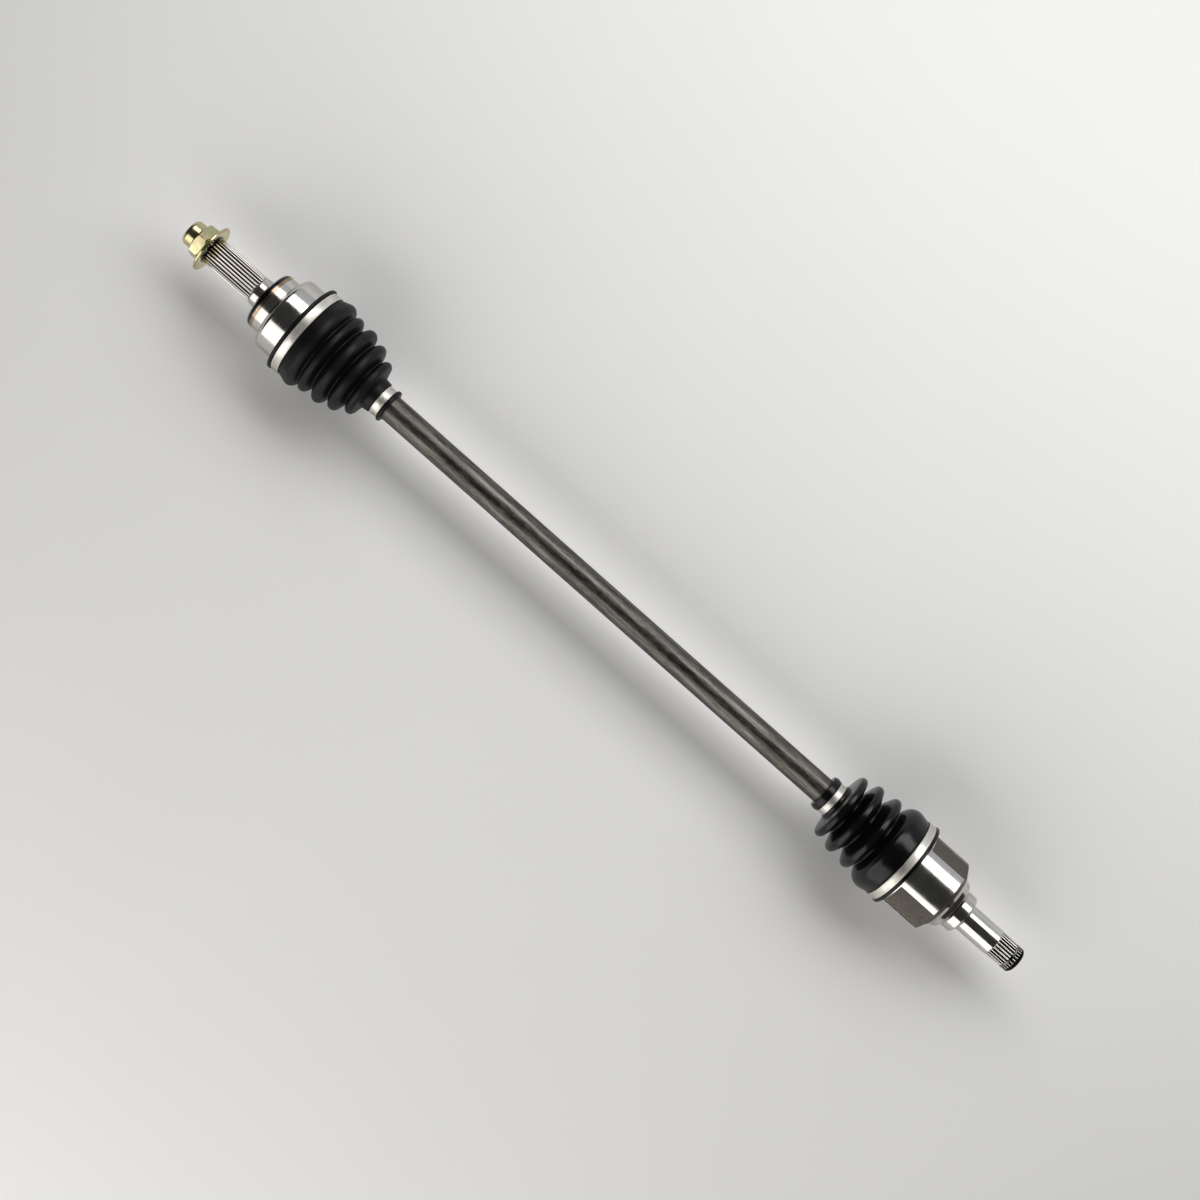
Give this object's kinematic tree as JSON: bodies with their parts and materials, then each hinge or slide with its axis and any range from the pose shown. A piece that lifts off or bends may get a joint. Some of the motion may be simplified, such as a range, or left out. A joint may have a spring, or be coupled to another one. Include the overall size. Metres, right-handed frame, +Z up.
{
  "type": "cv axle",
  "caption": "Front drive shaft of a car: a splined bar with a fixed ball joint at the wheel end and a plunging tripod joint at the gearbox end, each under a clamped rubber boot.",
  "frame": {"origin": "on the axle's own axis, halfway between the ends of the axle nut and of the gearbox stub", "axes": "+X along the axle towards the gearbox end, +Z up as the axle lies, +Y to the left of +X"},
  "size_m": [0.951, 0.089, 0.089],
  "materials": {
    "forged_bar": "dark forged and oiled, lightly mottled along its length",
    "machined_steel": "turned and ground, thinly oiled",
    "hardened_steel": "hardened and ground, under grease",
    "spring_steel": "dark spring steel",
    "outer_boot_rubber": "satin black moulded rubber",
    "inner_boot_rubber": "glossier black moulded rubber",
    "clamp_band": "satin stainless strip",
    "zinc_plate": "yellow zinc plating"
  },
  "bodies": {
    "shaft": {"shaft": "forged_bar", "outer_inner_race": "hardened_steel", "outer_race_circlip": "spring_steel", "outer_stop_ring": "spring_steel", "outer_boot_small_clamp": "clamp_band", "spider": "hardened_steel", "spider_circlip": "spring_steel", "spider_stop_ring": "spring_steel", "roller_clip_1": "spring_steel", "roller_clip_2": "spring_steel", "roller_clip_3": "spring_steel", "inner_boot_small_clamp": "clamp_band"},
    "outer_bend_near": {"outer_boot_small_end": "outer_boot_rubber"},
    "outer_cage": {"outer_cage": "hardened_steel", "outer_ball_1": "hardened_steel", "outer_ball_2": "hardened_steel", "outer_ball_3": "hardened_steel", "outer_ball_4": "hardened_steel", "outer_ball_5": "hardened_steel", "outer_ball_6": "hardened_steel"},
    "outer_bend_far": {"outer_boot_large_end": "outer_boot_rubber"},
    "outer_housing": {"outer_housing": "machined_steel", "outer_boot_large_clamp": "clamp_band"},
    "axle_washer": {"axle_washer": "zinc_plate"},
    "axle_nut": {"axle_nut": "zinc_plate"},
    "inner_bend_near": {"inner_boot_small_end": "inner_boot_rubber"},
    "inner_bend_far": {"inner_boot_large_end": "inner_boot_rubber"},
    "inner_housing": {"inner_housing": "machined_steel", "inner_boot_large_clamp": "clamp_band", "inner_stub_clip": "spring_steel"},
    "roller_1": {"roller_1": "hardened_steel", "needle_bearing_1": "hardened_steel"},
    "roller_2": {"roller_2": "hardened_steel", "needle_bearing_2": "hardened_steel"},
    "roller_3": {"roller_3": "hardened_steel", "needle_bearing_3": "hardened_steel"}
  },
  "joints": [
    {"name": "outer_steer", "type": "hinge", "parent": "shaft", "child": "outer_bend_near", "pos_m": [-0.3485, 0, 0], "axis": [0, 0, 1], "range_deg": [-14, 14]},
    {"name": "outer_bump", "type": "hinge", "parent": "outer_bend_near", "child": "outer_cage", "pos_m": [-0.3485, 0, 0], "axis": [0, 1, 0], "range_deg": [-14, 14], "deforming": ["outer_boot_small_end", "outer_boot_large_end"]},
    {"name": "outer_bump_far", "type": "hinge", "parent": "outer_cage", "child": "outer_bend_far", "pos_m": [-0.3485, 0, 0], "axis": [0, 1, 0], "range_deg": [-14.1, 14.1]},
    {"name": "outer_steer_far", "type": "hinge", "parent": "outer_bend_far", "child": "outer_housing", "pos_m": [-0.3485, 0, 0], "axis": [0, 0, 1], "range_deg": [-14.1, 14.1]},
    {"name": "nut_travel", "type": "slide", "parent": "outer_housing", "child": "axle_washer", "axis": [-1, 0, 0], "range_m": [0, 0.0196]},
    {"name": "nut_turn", "type": "hinge", "parent": "axle_washer", "child": "axle_nut", "pos_m": [-0.46, 0, 0], "axis": [-1, 0, 0], "range_deg": [0, 4680]},
    {"name": "inner_swing", "type": "hinge", "parent": "shaft", "child": "inner_bend_near", "pos_m": [0.3555, 0, 0], "axis": [0, 0, 1], "range_deg": [-12, 12], "deforming": ["inner_boot_small_end", "inner_boot_large_end"]},
    {"name": "inner_lift", "type": "hinge", "parent": "inner_bend_near", "child": "inner_bend_far", "pos_m": [0.3555, 0, 0], "axis": [0, 1, 0], "range_deg": [-12, 12]},
    {"name": "inner_plunge", "type": "slide", "parent": "inner_bend_far", "child": "inner_housing", "axis": [1, 0, 0], "range_m": [-0.01, 0.01]},
    {"name": "roller_1_spin", "type": "hinge", "parent": "shaft", "child": "roller_1", "pos_m": [0.3555, 0, 0], "axis": [0, 0.1132, 0.9936], "continuous": true},
    {"name": "roller_2_spin", "type": "hinge", "parent": "shaft", "child": "roller_2", "pos_m": [0.3555, 0, 0], "axis": [0, 0.8039, -0.5948], "continuous": true},
    {"name": "roller_3_spin", "type": "hinge", "parent": "shaft", "child": "roller_3", "pos_m": [0.3555, 0, 0], "axis": [0, -0.9171, -0.3987], "continuous": true}
  ],
  "couplings": [
    {"joint": "outer_bump_far", "follows": "outer_bump", "ratio": 1},
    {"joint": "outer_steer_far", "follows": "outer_steer", "ratio": 1},
    {"joint": "nut_travel", "follows": "nut_turn", "m_per_rad": 0.00023873},
    {"joint": "roller_1_spin", "follows": "inner_plunge", "rad_per_m": 90.909},
    {"joint": "roller_2_spin", "follows": "inner_plunge", "rad_per_m": 90.909},
    {"joint": "roller_3_spin", "follows": "inner_plunge", "rad_per_m": 90.909}
  ]
}
